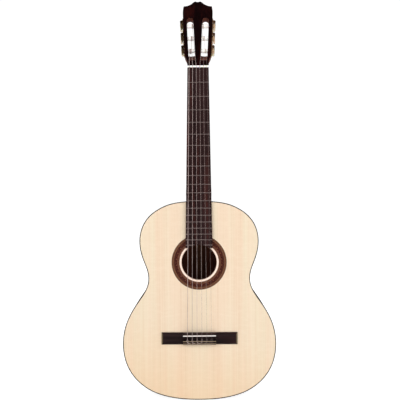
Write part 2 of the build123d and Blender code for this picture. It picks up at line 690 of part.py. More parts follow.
# ------------------------------------------------------------- machine heads
# Every piece is drawn in the tuner frame, the worm and button about the worm
# axis, which runs along Z.
TEETH = 14                  # gear teeth, one start on the worm
GEAR_R = 7.2                # pitch radius of the gear
WORM_R = 2.5                # pitch radius of the worm
CENTRES = GEAR_R + WORM_R
PITCH = 2 * pi * GEAR_R / TEETH
LEAD = PITCH / (2 * pi * WORM_R)        # slope of the thread at its pitch
WORM_CREST = 3.15
WORM_ROOT = 1.75
WORM_TURNS = 2.8
WORM_HALF_LEN = 5.8
THREAD_W = 1.25             # thread thickness at the pitch radius
FLANK = 0.2                 # clearance on each flank
PRESSURE = tan(radians(20.0))           # slope of the flanks
WORM_OUT = 4.9              # worm axis, out from the head side
GEAR_IN, GEAR_OUT = 3.4, 6.4            # gear faces, out from the head side
GAP_HALF_RUN = 2.6          # gap cutter, either side of the worm axis
SHAFT_R = 1.5
SHAFT_END = -23.0
COLLAR_R = 2.9
BUTTON_T, BUTTON_W, BUTTON_LEN = 7.2, 16.0, 18.0
BUTTON_TOP = -13.5
PLATE_T = 1.5
PLATE_Y0, PLATE_Y1 = -15.0, 90.5
PLATE_W = 17.0
LUG_R, LUG_T = 3.2, 2.0


def gap_half_angle(radius):
    """Half angle of the space between gear teeth at a radius: the sweep of
    one thread of the worm past the turning gear, plus clearance."""
    best = 0.0
    for i in range(-70, 71):
        turn = i * 0.01
        for j in range(0, 90):
            y = CENTRES - WORM_CREST - 0.2 + j * 0.02
            z = THREAD_W / 2 + FLANK + (y - GEAR_R) * PRESSURE + GEAR_R * turn
            if abs(hypot(y, z) - radius) < 0.015:
                best = max(best, atan2(z, y) - turn)
    return best


# the swept gap, carried on a little past its outer and inner ends
swept_radii = [6.38, 6.7, 7.2, 7.6, 7.95]
swept_angles = [gap_half_angle(radius) for radius in swept_radii]
gap_radii = [6.30] + swept_radii + [8.6]
gap_angles = [swept_angles[0] * 0.92] + swept_angles + [
    swept_angles[-1] + (swept_angles[-1] - swept_angles[-2]) * 1.9]


def make_gear(side):
    x0, x1 = sorted((side * GEAR_IN, side * GEAR_OUT))
    gear = rod((x0, 0, 0), (x1, 0, 0), GEAR_R + 0.65)
    points = [(radius * cos(angle), radius * sin(angle))
              for radius, angle in zip(gap_radii, gap_angles)]
    points = [(y, -z) for y, z in reversed(points)] + points
    gaps = []
    for i in range(TEETH):
        face = polygon([(side * WORM_OUT - GAP_HALF_RUN, y,
                         z - GAP_HALF_RUN * LEAD) for y, z in points])
        gap = extrude(face, amount=2 * GAP_HALF_RUN * sqrt(1 + LEAD * LEAD),
                      dir=(1, 0, LEAD))
        gaps.append(Rot(360 * i / TEETH, 0, 0) * gap)
    gear -= fuse(gaps)
    gear += x_rod(side, PLATE_T + 0.15, GEAR_IN + 0.2, 4.3)
    gear -= x_rod(side, 1, 8, 2.54)
    return gear


def make_worm():
    """Worm with its shaft and the collar above the button."""
    height = WORM_TURNS * PITCH
    path = Helix(pitch=PITCH, height=height, radius=WORM_R)
    root = WORM_ROOT - 0.2
    half_root = THREAD_W / 2 + (WORM_R - root) * PRESSURE
    half_crest = THREAD_W / 2 - (WORM_CREST - WORM_R) * PRESSURE
    profile = polygon([(root, 0, -half_root), (WORM_CREST, 0, -half_crest),
                       (WORM_CREST, 0, half_crest), (root, 0, half_root)])
    thread = sweep(profile, path=path, is_frenet=True)
    start = -90 - 360 * WORM_TURNS / 2
    thread = Pos(0, 0, -height / 2) * Rot(0, 0, start) * thread
    worm = Cylinder(WORM_ROOT, 2 * WORM_HALF_LEN) + thread
    worm += rod((0, 0, 9.0), (0, 0, SHAFT_END), SHAFT_R)
    worm += rod((0, 0, -8.15), (0, 0, BUTTON_TOP + 0.1), COLLAR_R)
    return worm


def make_button():
    face = Plane.YZ.location * RectangleRounded(BUTTON_W, BUTTON_LEN, 6.6)
    button = Pos(-BUTTON_T / 2, 0, 0) * extrude(face, amount=BUTTON_T,
                                                dir=(1, 0, 0))
    rims = [edge for edge in button.edges()
            if abs(abs(edge.center().X) - BUTTON_T / 2) < 0.01]
    button = fillet(rims, 2.0)
    button = Pos(0, 0, BUTTON_TOP - BUTTON_LEN / 2) * button
    return button - rod((0, 0, -10), (0, 0, SHAFT_END - 0.1), SHAFT_R + 0.03)


def make_roller(side, hole_in):
    """Roller with its gear spindle; the string hole is hole_in from the head
    side."""
    roller = x_rod(side, -0.35, -(ROLLER_REACH - 0.3), ROLLER_R)
    roller += x_rod(side, -0.5, GEAR_OUT, 2.5)
    roller -= x_rod(side, 2.2, 8, 1.02)
    roller -= rod((-side * hole_in, 0, 8), (-side * hole_in, 0, -8), 0.9)
    return roller


def make_gear_screw(side):
    head = x_rod(side, GEAR_OUT + 0.02, GEAR_OUT + 1.2, 3.3)
    head -= Pos(side * (GEAR_OUT + 1.25), 0, 0) * Box(1.2, 8, 0.9)
    return head + x_rod(side, 2.4, GEAR_OUT + 0.3, 1.0)


def make_plate_screw(side, y):
    screw = x_rod(side, PLATE_T + 0.01, PLATE_T + 1.1, 2.0, y=y)
    screw += x_rod(side, PLATE_T + 0.3, -7.0, 0.9, y=y)
    screw -= Pos(side * (PLATE_T + 1.2), y, 0) * Box(1.0, 5, 0.6)
    return screw


def make_lug(side, y, z0):
    """Bearing lug for one end of a worm shaft."""
    lug = rod((side * WORM_OUT, y, z0), (side * WORM_OUT, y, z0 + LUG_T), LUG_R)
    x_in, x_out = sorted((side * 0.2, side * WORM_OUT))
    lug += Pos((x_in + x_out) / 2, y, z0 + LUG_T / 2) * Box(
        x_out - x_in, 2 * LUG_R, LUG_T)
    return lug


def make_plate(side):
    face = Plane.YZ.location * RectangleRounded(PLATE_Y1 - PLATE_Y0, PLATE_W,
                                                5.5)
    x0 = 0.0 if side > 0 else -PLATE_T
    plate = Pos(x0, (PLATE_Y0 + PLATE_Y1) / 2, 0) * extrude(
        face, amount=PLATE_T, dir=(1, 0, 0))
    step = ROLLER_PITCH / cos(radians(SIDE_ANGLE))
    for i in range(3):
        for z0 in (6.0, -8.0):
            plate += make_lug(side, i * step + CENTRES, z0)
    for i in range(3):
        y = i * step
        plate -= x_rod(side, -1, 3, 2.62, y=y)
        plate -= rod((side * WORM_OUT, y + CENTRES, 10),
                     (side * WORM_OUT, y + CENTRES, -10), SHAFT_R + 0.05)
    for y in SCREWS_ALONG:
        plate -= x_rod(side, -1, 3, 0.95, y=y)
    return plate


def place(shape):
    return HEAD.location * shape


plate_screws = []
for side, label in ((-1, "bass"), (1, "treble")):
    frame = tuner_frame(side, ROLLER_ALONG[0])
    put("tuner_plate_" + label, place(frame * make_plate(side)))
    for along in SCREWS_ALONG:
        plate_screws.append(place(frame * make_plate_screw(side, along)))
put("tuner_plate_screws", *plate_screws)

worm = make_worm()
button = make_button()
for number, _, _, side, roller, landing, button_turn in STRINGS:
    along = ROLLER_ALONG[roller]
    frame = tuner_frame(side, along)
    worm_frame = frame * Location((side * WORM_OUT, CENTRES, 0))
    put(f"tuner_worm_{number}", place(worm_frame * worm))
    put(f"tuner_button_{number}",
        place(worm_frame * Rot(0, 0, button_turn) * button))
    put(f"tuner_roller_{number}",
        place(frame * make_roller(side, side_x(along) - landing - 1.6)))
    put(f"tuner_gear_{number}", place(frame * make_gear(side)),
        place(frame * make_gear_screw(side)))

# -------------------------------------------------------- origin and writing
boxes = [solid.bounding_box() for solids in parts.values() for solid in solids]
y_low = min(box.min.Y for box in boxes)
y_high = max(box.max.Y for box in boxes)
to_origin = Pos(0, -(y_low + y_high) / 2, 0)
for name, solids in parts.items():
    moved = [to_origin * solid for solid in solids]
    body = moved[0] if len(moved) == 1 else Compound(children=moved)
    export_step(body, f"parts/{name}.step")
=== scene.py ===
import json
import math
import random

import bmesh
import bpy
from mathutils import Matrix, Vector


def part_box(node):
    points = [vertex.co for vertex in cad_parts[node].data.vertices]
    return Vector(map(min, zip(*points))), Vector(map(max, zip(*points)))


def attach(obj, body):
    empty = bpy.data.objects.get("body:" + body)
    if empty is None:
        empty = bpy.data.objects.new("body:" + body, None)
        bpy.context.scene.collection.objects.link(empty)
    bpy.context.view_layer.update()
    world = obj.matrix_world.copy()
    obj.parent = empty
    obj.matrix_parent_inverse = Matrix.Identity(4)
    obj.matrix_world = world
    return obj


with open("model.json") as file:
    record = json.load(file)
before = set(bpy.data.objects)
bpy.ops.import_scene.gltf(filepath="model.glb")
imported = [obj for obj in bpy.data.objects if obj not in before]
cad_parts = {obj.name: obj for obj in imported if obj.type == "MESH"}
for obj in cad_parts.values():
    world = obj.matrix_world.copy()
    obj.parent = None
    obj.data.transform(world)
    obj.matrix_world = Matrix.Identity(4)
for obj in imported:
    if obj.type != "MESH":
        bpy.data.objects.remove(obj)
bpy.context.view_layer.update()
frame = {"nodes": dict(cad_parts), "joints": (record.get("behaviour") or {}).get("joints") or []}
nodes = frame["nodes"]
joints = {joint["name"]: joint for joint in frame["joints"]}

MM = 0.001
Y_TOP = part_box("soundboard")[0].y   # outer face of the soundboard
HOLE_Z = 0.3367                     # height of the soundhole's centre
random.seed(7)

# Light levels
DOME = 0.59             # strength of the soft light from all round
BACKDROP = 1.05         # world brightness as the camera sees it
SOFT_BOX = 0.95         # added where glossy surfaces see a soft box
REFLECT_DARK = 0.03     # what glossy surfaces see behind the camera
FLOOR_GLOW = 0.70       # floor's own light as the camera sees it
FLOOR_BOUNCE = 0.25     # light the floor sends up
FLOOR_SHINE = 0.10      # how bright the floor is in reflections
FLOOR_PAPER = 1.04      # brightness of the over-lit paper
FLOOR_PAPER_MIX = 0.6   # share of the paper in the camera's view

# Strings, in millimetres
STRING_PITCH = 11.8     # spacing at the bridge
TIE_BLOCK_Y = -9.1      # top of the tie block, from the soundboard's face
TIE_STEPS = 8           # points per span of a knot's curve
ROLLER_RADIUS = 5.0
WRAP_GAP = 0.05         # between the roller and the string
WRAP_PITCH = 2.1        # from turn to turn, in string radii
WRAP_STEPS = 30         # points per turn
WRAP_START = -0.12      # starting angle, radians
# number: (radius, distance from the middle where it meets its roller, turns)
STRINGS = {
    1: (0.355, 20.3, 3.8), 2: (0.41, 17.0, 3.8), 3: (0.51, 14.4, 2.2),
    4: (0.37, 14.4, 3.4), 5: (0.45, 17.0, 3.4), 6: (0.545, 20.3, 3.4),
}
WOUND_LAY = {6: 0.00034, 5: 0.00030, 4: 0.00026}    # metres per turn of wire
NYLON_CLEAR = {3: 0.70, 2: 0.76, 1: 0.84}           # share that shows through


# ------------------------------------------------------------ node helpers
def srgb(red, green, blue):
    """Linear RGBA from 8-bit sRGB."""
    out = []
    for c in (red, green, blue):
        c /= 255.0
        out.append(c / 12.92 if c <= 0.04045 else ((c + 0.055) / 1.055) ** 2.4)
    return (*out, 1.0)


class Graph:
    """A node tree with short calls for making and joining nodes."""

    def __init__(self, tree):
        self.tree = tree

    def put(self, socket, value):
        """Link value to the socket if it is an output, else store it."""
        if isinstance(value, bpy.types.NodeSocket):
            self.tree.links.new(value, socket)
        else:
            socket.default_value = value

    def node(self, kind, props=None, **inputs):
        """Inputs go by name, with _ for a space, or by index as i0, i1..."""
        made = self.tree.nodes.new("ShaderNode" + kind)
        for key, value in (props or {}).items():
            setattr(made, key, value)
        for key, value in inputs.items():
            by_index = key[0] == "i" and key[1:].isdigit()
            self.put(made.inputs[int(key[1:]) if by_index
                                 else key.replace("_", " ")], value)
        return made

    def math(self, operation, a, b=0.0):
        return self.node("Math", {"operation": operation}, i0=a,
                         i1=b).outputs[0]

    def add(self, a, b):
        return self.math("ADD", a, b)

    def sub(self, a, b):
        return self.math("SUBTRACT", a, b)

    def mul(self, a, b):
        return self.math("MULTIPLY", a, b)

    def maximum(self, a, b):
        return self.math("MAXIMUM", a, b)

    def absolute(self, a):
        return self.math("ABSOLUTE", a)

    def split(self, vector):
        return tuple(self.node("SeparateXYZ", Vector=vector).outputs)

    def mix_shader(self, fac, first, second):
        return self.node("MixShader", i0=fac, i1=first, i2=second).outputs[0]


class Shader(Graph):
    """A principled material."""

    INPUTS = {"color": "Base Color", "rough": "Roughness",
              "metal": "Metallic", "normal": "Normal",
              "coat": "Coat Weight", "coat_rough": "Coat Roughness",
              "coat_normal": "Coat Normal", "sheen": "Sheen Weight",
              "sss": "Subsurface Weight", "sss_scale": "Subsurface Scale",
              "spec": "Specular IOR Level", "glow": "Emission Strength",
              "glow_color": "Emission Color"}

    def __init__(self, name):
        self.material = bpy.data.materials.new(name)
        self.material.use_nodes = True
        super().__init__(self.material.node_tree)
        self.bsdf = self.find("BSDF_PRINCIPLED")
        self.surface = self.find("OUTPUT_MATERIAL").inputs["Surface"]
        self.obj = self.node("TexCoord").outputs["Object"]

    def find(self, kind):
        return next(node for node in self.tree.nodes if node.type == kind)

    def set(self, **values):
        for key, value in values.items():
            self.put(self.bsdf.inputs[self.INPUTS[key]], value)

    def mix(self, fac, first, second):
        return self.node("Mix", {"data_type": "RGBA"}, Factor=fac, i6=first,
                         i7=second).outputs[2]

    def ramp(self, fac, *stops):
        """Each stop is (position, 8-bit sRGB colour)."""
        made = self.node("ValToRGB")
        elements = made.color_ramp.elements
        while len(elements) > 1:
            elements.remove(elements[-1])
        for i, (position, color) in enumerate(stops):
            stop = elements[0] if i == 0 else elements.new(position)
            stop.position = position
            stop.color = srgb(*color)
        self.put(made.inputs[0], fac)
        return made.outputs[0]

    def two_tone(self, fac, low, high):
        """Ramp over the range that noise mostly fills."""
        return self.ramp(fac, (0.3, low), (0.7, high))

    def remap(self, value, span, to=(0.0, 1.0)):
        return self.node("MapRange", Value=value, From_Min=span[0],
                         From_Max=span[1], To_Min=to[0],
                         To_Max=to[1]).outputs[0]

    def join(self, x, y, z):
        return self.node("CombineXYZ", X=x, Y=y, Z=z).outputs[0]

    def stretched(self, x, y, z):
        """Object coordinates scaled along each axis."""
        return self.node("Mapping", Vector=self.obj,
                         Scale=(x, y, z)).outputs[0]

    def noise(self, vector, scale=1.0, detail=3.0, rough=0.55, distort=0.0):
        return self.node("TexNoise", Vector=vector, Scale=scale,
                         Detail=detail, Roughness=rough,
                         Distortion=distort).outputs[0]

    def bump(self, height, strength, distance):
        return self.node("Bump", Height=height, Strength=strength,
                         Distance=distance).outputs[0]

    def face_normal(self):
        return self.split(self.node("NewGeometry").outputs["True Normal"])


looks = {}      # short name: Shader


# -------------------------------------------------------------------- wood
def fibre_noise(mat, place, wide, long, detail=3.0, rough=0.55):
    """Noise over place = [across, depth, along]: wide is its scale over the
    first two, long its scale along the fibres."""
    across, depth, along = place
    return mat.noise(mat.join(mat.mul(across, wide), mat.mul(depth, wide),
                              mat.mul(along, long)),
                     detail=detail, rough=rough)


def timber(name, dark, mid, light, *, grain=2, cross=0, fine=260.0, slow=5.0,
           ring=0.0, ring_amount=0.3, pores=0.4, pore_len=34.0, rough=0.4,
           coat=0.0, coat_rough=0.08, bump=0.25, wander=0.004, book=False,
           figure=0.0, contrast=1.0, offset=0.0, red=None, spec=0.5):
    """Planed and finished wood; its colour is kept as .color.

    grain is the axis the fibres run along, cross the axis they are stacked
    across.  fine and slow are the streaks' scales across and along; ring is
    the spacing of the growth rings, wander how far the fibres stray, book
    mirrors the figure about X = 0, figure is the strength of cross silk,
    offset shifts the pattern along, and red is a colour for patches."""
    mat = Shader(name)
    axes = list(mat.split(mat.obj))
    if book:
        axes[0] = mat.absolute(axes[0])
    place = [axes[cross], axes[3 - grain - cross],
             mat.add(axes[grain], offset)]
    # the fibres wander slowly from side to side
    drift = mat.sub(fibre_noise(mat, place, wide=6.0, long=2.2, detail=2.0),
                    0.5)
    place[0] = mat.add(place[0], mat.mul(drift, wander * 2))

    streak = fibre_noise(mat, place, fine, slow, detail=6.0, rough=0.62)
    broad = fibre_noise(mat, place, fine * 0.14, slow * 0.4)
    tone = mat.add(mat.mul(streak, 0.55), mat.mul(broad, 0.45))
    half = 0.22 / contrast
    color = mat.ramp(mat.remap(tone, (0.5 - half, 0.5 + half)),
                     (0.0, dark), (0.5, mid), (1.0, light))
    dark, light = srgb(*dark), srgb(*light)
    if ring:
        # a sine across the rings, sharpened into narrow dark lines
        wave = mat.add(mat.mul(place[0], 2 * math.pi / ring),
                       mat.mul(drift, 30.0))
        wave = mat.add(mat.mul(mat.math("SINE", wave), 0.5), 0.5)
        wave = mat.math("POWER", wave, 2.4)
        wave = mat.mul(wave, mat.remap(broad, (0.3, 0.7), to=(0.45, 1.0)))
        color = mat.mix(mat.mul(wave, ring_amount), color, dark)
    if red is not None:
        patch = fibre_noise(mat, place, fine * 0.35, slow * 0.9, detail=4.0)
        color = mat.mix(mat.remap(patch, (0.52, 0.66), to=(0.0, 0.75)),
                        color, srgb(*red))
    if figure:
        silk = fibre_noise(mat, place, wide=60.0, long=210.0, rough=0.5)
        color = mat.mix(mat.remap(silk, (0.45, 0.7), to=(0.0, figure)),
                        color, light)
    pore = fibre_noise(mat, place, wide=1900.0, long=pore_len, detail=2.0,
                       rough=0.5)
    pore = mat.remap(pore, (0.60, 0.70))
    pore_color = (dark[0] * 0.35, dark[1] * 0.35, dark[2] * 0.35, 1.0)
    color = mat.mix(mat.mul(pore, pores), color, pore_color)

    wear = mat.noise(mat.obj, scale=9.0, detail=4.0)
    polish = mat.remap(mat.add(mat.mul(streak, 0.5), mat.mul(wear, 0.5)),
                       (0.3, 0.7), to=(rough - 0.07, rough + 0.09))
    height = mat.sub(mat.mul(streak, 0.35), mat.mul(pore, pores))
    # the lacquer is level apart from a faint waviness
    waves = mat.noise(mat.obj, scale=26.0, detail=2.0)
    mat.set(color=color, rough=polish, coat=coat, coat_rough=coat_rough,
            normal=mat.bump(height, strength=bump, distance=0.0002),
            coat_normal=mat.bump(waves, strength=0.05, distance=0.0006),
            spec=spec)
    mat.color = color
    return mat


# shared by the two cuts of bare spruce
BARE_SPRUCE = dict(fine=330.0, slow=3.0, ring=0.0016, ring_amount=0.25,
                   pores=0.05, rough=0.62, bump=0.25, wander=0.001)
# shared by the lacquered rosewood of the back and sides
BOX_ROSEWOOD = dict(fine=150.0, ring_amount=0.5, pores=0.55, rough=0.36,
                    coat=0.85, coat_rough=0.06, bump=0.22)


def soundboard():
    mat = timber("spruce_top", (216, 187, 153), (232, 211, 186),
                 (240, 223, 202), fine=330.0, slow=2.2, ring=0.00145,
                 ring_amount=0.30, pores=0.05, rough=0.42, coat=0.55,
                 coat_rough=0.10, bump=0.10, wander=0.0016, book=True,
                 figure=0.28, contrast=0.75)
    x, y, z = mat.split(mat.obj)
    # broad lengthwise bands, some warmer and some cooler
    sheet = mat.noise(mat.join(mat.mul(mat.absolute(x), 34.0), 0.0,
                               mat.mul(z, 1.5)), rough=0.5)
    warm = mat.mix(0.16, mat.color, srgb(238, 198, 162))
    cool = mat.mix(0.20, mat.color, srgb(228, 224, 188))
    tone = mat.mix(mat.remap(sheet, (0.38, 0.62)), cool, warm)
    # the lacquer has yellowed a little more towards the tail and the bass side
    low = mat.remap(mat.add(z, mat.mul(x, 0.25)), (-0.01, 0.17),
                    to=(0.26, 0.0))
    mat.set(color=mat.mix(low, tone, srgb(242, 194, 136)))
    return mat


def raw_inside(mat, outward):
    """Take the lacquer off the faces that look into the box, and paint them darker as painted
    shade inside the box.
    """
    outside = mat.remap(outward, (-0.05, 0.05))
    for key, inner in (("Coat Weight", 0.0), ("Specular IOR Level", 0.12),
                       ("Roughness", 0.75)):
        socket = mat.bsdf.inputs[key]
        outer = (socket.links[0].from_socket if socket.links
                 else socket.default_value)
        mat.put(socket, mat.add(mat.mul(outside, outer),
                                mat.mul(mat.sub(1.0, outside), inner)))
    # painted shade: the faces inside the box are darkened towards this colour
    inside_shade = (0.052, 0.028, 0.020, 1.0)       # linear
    shade = mat.mix(0.45, mat.color, inside_shade)
    mat.set(color=mat.mix(outside, shade, mat.color))


def back_plate():
    mat = timber("rosewood_back", (38, 16, 10), (92, 42, 24), (134, 70, 42),
                 slow=1.6, ring=0.0052, wander=0.014, book=True,
                 contrast=1.25, red=(112, 44, 28), **BOX_ROSEWOOD)
    raw_inside(mat, mat.face_normal()[1])
    return mat


def sides():
    mat = timber("rosewood_side", (38, 16, 10), (90, 41, 24), (130, 68, 41),
                 cross=1, slow=1.8, ring=0.0055, wander=0.008, contrast=1.2,
                 red=(110, 44, 28), offset=0.4, **BOX_ROSEWOOD)
    face = mat.face_normal()
    here = mat.split(mat.obj)
    # outward is away from the line X = 0, Z = 0.25 inside the box
    raw_inside(mat, mat.add(mat.mul(face[0], here[0]),
                            mat.mul(face[2], mat.sub(here[2], 0.25))))
    return mat


def bridge():
    mat = timber("rosewood_bridge", (10, 5, 6), (34, 21, 22), (63, 43, 41),
                 grain=0, cross=2, fine=250.0, slow=4.0, pores=0.7,
                 pore_len=60.0, rough=0.44, bump=0.4, wander=0.002,
                 red=(52, 26, 23), spec=0.22)
    # the sloping ends of the wings are painted paler, a painted highlight where they catch the
    # light
    lean = mat.face_normal()[0]
    slope_highlight = mat.mul(mat.remap(mat.absolute(lean), (0.30, 0.42)),
                    mat.remap(mat.absolute(lean), (0.75, 0.9),
                              to=(1.0, 0.0)))
    ends = mat.remap(mat.absolute(mat.split(mat.obj)[0]), (0.086, 0.088),
                     to=(0.0, 0.6))
    mat.set(color=mat.mix(mat.mul(slope_highlight, ends), mat.color,
                          srgb(128, 112, 84)))
    return mat


looks["top"] = soundboard()
looks["raw_spruce"] = timber(
    "raw_spruce", (196, 158, 110), (222, 188, 142), (234, 206, 164),
    **BARE_SPRUCE)
looks["dark_strip"] = timber(
    "raw_strip", (60, 36, 24), (86, 54, 38), (108, 72, 52), grain=0, cross=2,
    fine=330.0, slow=3.0, pores=0.3, rough=0.75, wander=0.001, spec=0.1)
looks["raw_spruce_x"] = timber(
    "raw_spruce_across", (190, 150, 104), (216, 182, 136), (230, 200, 158),
    grain=0, cross=2, **BARE_SPRUCE)
looks["back"] = back_plate()
looks["side"] = sides()
looks["neck"] = timber(
    "mahogany_neck", (56, 20, 11), (102, 45, 27), (136, 69, 43), fine=210.0,
    slow=3.0, ring=0.0044, ring_amount=0.22, pores=0.5, rough=0.44,
    coat=0.35, coat_rough=0.15, spec=0.2)
looks["blocks"] = timber(
    "cedar_raw", (120, 70, 44), (156, 100, 66), (184, 130, 92), fine=210.0,
    slow=3.5, ring=0.004, ring_amount=0.2, rough=0.65, bump=0.3)
looks["board"] = timber(
    "rosewood_board", (18, 8, 8), (42, 25, 25), (65, 43, 42), fine=240.0,
    slow=4.0, pores=0.7, pore_len=60.0, rough=0.52, bump=0.45, wander=0.003,
    red=(72, 34, 28), spec=0.08)
looks["bridge"] = bridge()
looks["veneer"] = timber(
    "head_veneer", (6, 1, 1), (17, 2, 3), (40, 9, 7), fine=230.0, slow=3.5,
    ring=0.004, pores=0.5, rough=0.42, coat=0.2, coat_rough=0.10,
    red=(40, 7, 5), spec=0.04)
looks["binding"] = timber(
    "binding_wood", (8, 3, 2), (19, 9, 6), (34, 18, 13), fine=300.0,
    slow=6.0, pores=0.45, rough=0.42, coat=0.12, bump=0.2, spec=0.04)
looks["graft"] = timber(
    "graft_wood", (30, 14, 10), (64, 36, 26), (92, 56, 42), grain=1,
    fine=300.0, slow=9.0, pores=0.45, rough=0.38, coat=0.7, bump=0.2)


# ----------------------------------------------------------------- rosette
ROSETTE_FINISH = dict(rough=0.40, coat=0.35, coat_rough=0.08, spec=0.1)
# (inner radius, outer radius, colour) of the narrow strips, millimetres
RING_STRIPS = (
    (42.4, 43.25, (84, 48, 36)), (48.0, 48.5, (44, 22, 18)),
    (50.5, 51.0, (40, 20, 16)), (49.3, 49.6, (150, 108, 82)),
    (61.0, 61.5, (40, 20, 16)), (62.3, 62.6, (150, 112, 84)),
    (63.6, 64.0, (52, 30, 22)), (65.0, 65.3, (148, 112, 84)),
    (66.3, 67.5, (70, 42, 30)),
)
PALE_EDGE = (47.95, 48.05)      # where the pale edge ring turns to brown
MOSAIC_INNER = 51.0             # radius where the squares are counted from
MOSAIC_ROWS_PER_MM = 0.9
MOSAIC_CELLS = 336              # squares round the circle
MOSAIC_REPEAT = 14.0            # squares to one lozenge


def polar(mat):
    """Radius in millimetres and angle round the soundhole."""
    x, y, z = mat.split(mat.obj)
    rise = mat.sub(z, HOLE_Z)
    radius = mat.math("SQRT", mat.add(mat.mul(x, x), mat.mul(rise, rise)))
    return mat.mul(radius, 1000.0), mat.math("ARCTAN2", x, rise)


def band(mat, radius, inner, outer, soft=0.05):
    """1 between two radii, with soft edges."""
    rising = mat.remap(radius, (inner - soft, inner + soft))
    falling = mat.remap(radius, (outer - soft, outer + soft), to=(1.0, 0.0))
    return mat.mul(rising, falling)


def ring_grain(mat, radius, angle, layer):
    """Wood grain bent round the circle; layer picks a slice of the noise."""
    return mat.noise(mat.join(mat.mul(radius, 3.2), mat.mul(angle, 26.0),
                              layer), detail=5.0, rough=0.6)


def rosette_rings():
    """A pale edge ring, then brown strips with hairlines of lighter and
    darker veneer."""
    mat = Shader("rosette_rings")
    radius, angle = polar(mat)
    grain = ring_grain(mat, radius, angle, layer=0.0)
    brown = mat.ramp(grain, (0.3, (78, 44, 31)), (0.55, (106, 66, 48)),
                     (0.75, (128, 84, 62)))
    pale = mat.two_tone(grain, (240, 212, 194), (248, 226, 210))
    color = mat.mix(mat.remap(radius, PALE_EDGE), pale, brown)
    for inner, outer, strip in RING_STRIPS:
        color = mat.mix(band(mat, radius, inner, outer), color, srgb(*strip))
    mat.set(color=color, **ROSETTE_FINISH,
            normal=mat.bump(grain, strength=0.12, distance=0.0002))
    return mat


def rosette_mosaic():
    """Small end-grain squares laid as a running row of lozenges."""
    mat = Shader("rosette_mosaic")
    radius, angle = polar(mat)
    around = mat.mul(mat.add(angle, math.pi), MOSAIC_CELLS / (2 * math.pi))
    out = mat.mul(mat.sub(radius, MOSAIC_INNER), MOSAIC_ROWS_PER_MM)
    column, row = mat.math("FLOOR", around), mat.math("FLOOR", out)
    parts = mat.math("FRACT", around), mat.math("FRACT", out)
    # distance from a lozenge's centre, counted in squares
    from_column = mat.absolute(
        mat.sub(mat.math("MODULO", column, MOSAIC_REPEAT), 6.5))
    from_row = mat.absolute(mat.sub(row, 4.0))
    reach = mat.add(from_column, mat.mul(from_row, 1.6))
    pick = mat.node("TexWhiteNoise", {"noise_dimensions": "2D"},
                    Vector=mat.join(column, row, 0.0)).outputs[0]
    field = mat.ramp(pick, (0.0, (60, 26, 18)), (0.5, (80, 38, 26)),
                     (1.0, (100, 54, 38)))
    gem = mat.ramp(pick, (0.0, (44, 12, 12)), (0.6, (62, 18, 16)),
                   (1.0, (84, 26, 22)))
    heart = mat.ramp(pick, (0.0, (104, 60, 42)), (1.0, (126, 80, 58)))
    color = mat.mix(mat.math("LESS_THAN", reach, 6.2), field, gem)
    color = mat.mix(mat.math("LESS_THAN", reach, 2.3), color, heart)
    # dark seams along the borders of each square
    seams = [mat.maximum(mat.math("LESS_THAN", part, 0.10),
                         mat.math("GREATER_THAN", part, 0.93))
             for part in parts]
    edge = mat.maximum(*seams)
    color = mat.mix(mat.mul(edge, 0.55), color, srgb(30, 12, 10))
    # plain strips on either side of the pattern
    veneer = ring_grain(mat, radius, angle, layer=2.0)
    strip = mat.two_tone(veneer, (92, 54, 40), (122, 80, 62))
    color = mat.mix(mat.remap(radius, (53.2, 53.5), to=(1.0, 0.0)), color,
                    strip)
    color = mat.mix(band(mat, radius, 52.1, 52.4), color, srgb(58, 30, 22))
    color = mat.mix(band(mat, radius, 60.3, 61.05), color, srgb(70, 38, 28))
    mat.set(color=color, **ROSETTE_FINISH,
            normal=mat.bump(edge, strength=-0.10, distance=0.0002))
    return mat


looks["rings"] = rosette_rings()
looks["mosaic"] = rosette_mosaic()


# -------------------------------------------------------------------- bone
def clean_bone(name):
    """White bone with faint clouds, and its colour."""
    mat = Shader(name)
    cloud = mat.noise(mat.obj, scale=60.0, detail=5.0)
    mat.set(rough=0.32,
            normal=mat.bump(cloud, strength=0.08, distance=0.0003))
    return mat, mat.two_tone(cloud, (248, 240, 234), (255, 251, 249))


def nut_bone():
    mat, color = clean_bone("bone")
    fleck = mat.noise(mat.stretched(400, 900, 2600), detail=2.0)
    fleck = mat.remap(fleck, (0.62, 0.7), to=(0.0, 0.35))
    color = mat.mix(fleck, color, srgb(218, 198, 172))
    # the nut gives off a faint glow of its own, painted light
    mat.set(color=color, sss=0.15, sss_scale=0.002, glow_color=color,
            glow=0.05)
    return mat


def saddle_bone():
    """The same bone, with its two long faces painted darker as painted shade."""
    mat, color = clean_bone("bone_saddle_shaded_flanks")
    # painted shade on the two long faces
    flank_shade = mat.remap(mat.absolute(mat.face_normal()[2]), (0.55, 0.95),
                      to=(0.0, 0.75))
    mat.set(color=mat.mix(flank_shade, color, srgb(120, 96, 78)), spec=0.2)
    return mat


def tie_block_strip():
    mat = Shader("bone_strip")
    cloud = mat.noise(mat.stretched(60, 400, 400), detail=5.0)
    mat.set(color=mat.two_tone(cloud, (150, 131, 104), (180, 160, 130)),
            rough=0.4, spec=0.2,
            normal=mat.bump(cloud, strength=0.10, distance=0.0003))
    return mat


looks["bone"] = nut_bone()
looks["saddle"] = saddle_bone()
looks["strip"] = tie_block_strip()


# ------------------------------------------------------------------- metal
def fret_wire():
    mat = Shader("nickel_silver")
    scratch = mat.noise(mat.stretched(60, 4000, 9000))
    mat.set(color=mat.two_tone(scratch, (176, 154, 150), (212, 188, 183)),
            metal=0.92, rough=mat.remap(scratch, (0.3, 0.7), to=(0.22, 0.38)),
            normal=mat.bump(scratch, strength=0.08, distance=0.0001))
    return mat


